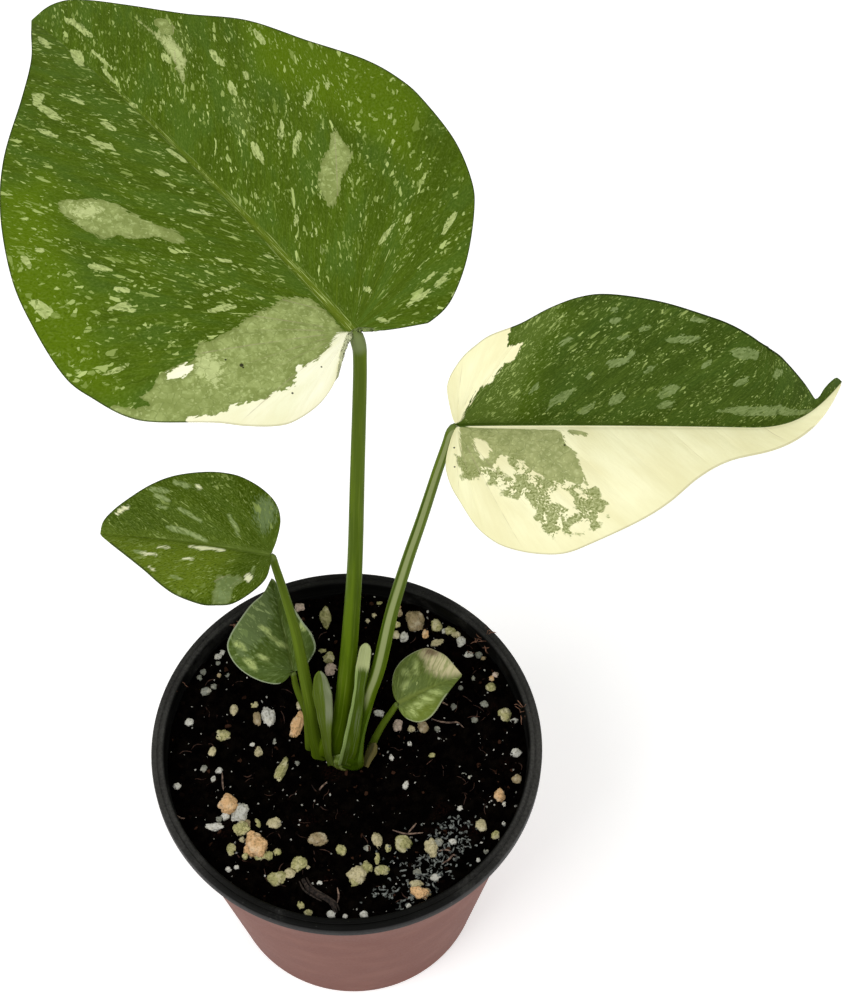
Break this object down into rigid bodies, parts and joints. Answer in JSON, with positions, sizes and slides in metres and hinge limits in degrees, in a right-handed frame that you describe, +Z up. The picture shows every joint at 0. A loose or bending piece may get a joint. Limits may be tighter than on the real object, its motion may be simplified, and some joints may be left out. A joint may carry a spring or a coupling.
{
  "type": "potted variegated monstera",
  "caption": "Young variegated monstera with heart-shaped, cream-marbled leaves on slim green stalks, growing in a tapered two-tone nursery pot of dark soil.",
  "frame": {"origin": "middle of the pot's flat underside", "axes": "+Z up, -Y towards the side that faces a viewer, +X to that viewer's right"},
  "size_m": [0.1877, 0.1871, 0.2232],
  "materials": {
    "terracotta_plastic": "matte",
    "soil": "matte",
    "crown": "satin",
    "stalk": "satin",
    "leaf": "satin",
    "sheath": "satin"
  },
  "bodies": {
    "root": {"pot": "terracotta_plastic", "soil": "soil", "crown": "crown", "petiole_large": "stalk", "petiole_right": "stalk", "petiole_left": "stalk", "petiole_low_left": "stalk", "petiole_small_right": "stalk", "blade_large": "leaf", "blade_right": "leaf", "blade_left": "leaf", "blade_low_left": "leaf", "blade_small_right": "leaf", "sheath_left": "sheath", "sheath_centre": "sheath", "sheath_right": "sheath"}
  },
  "joints": []
}
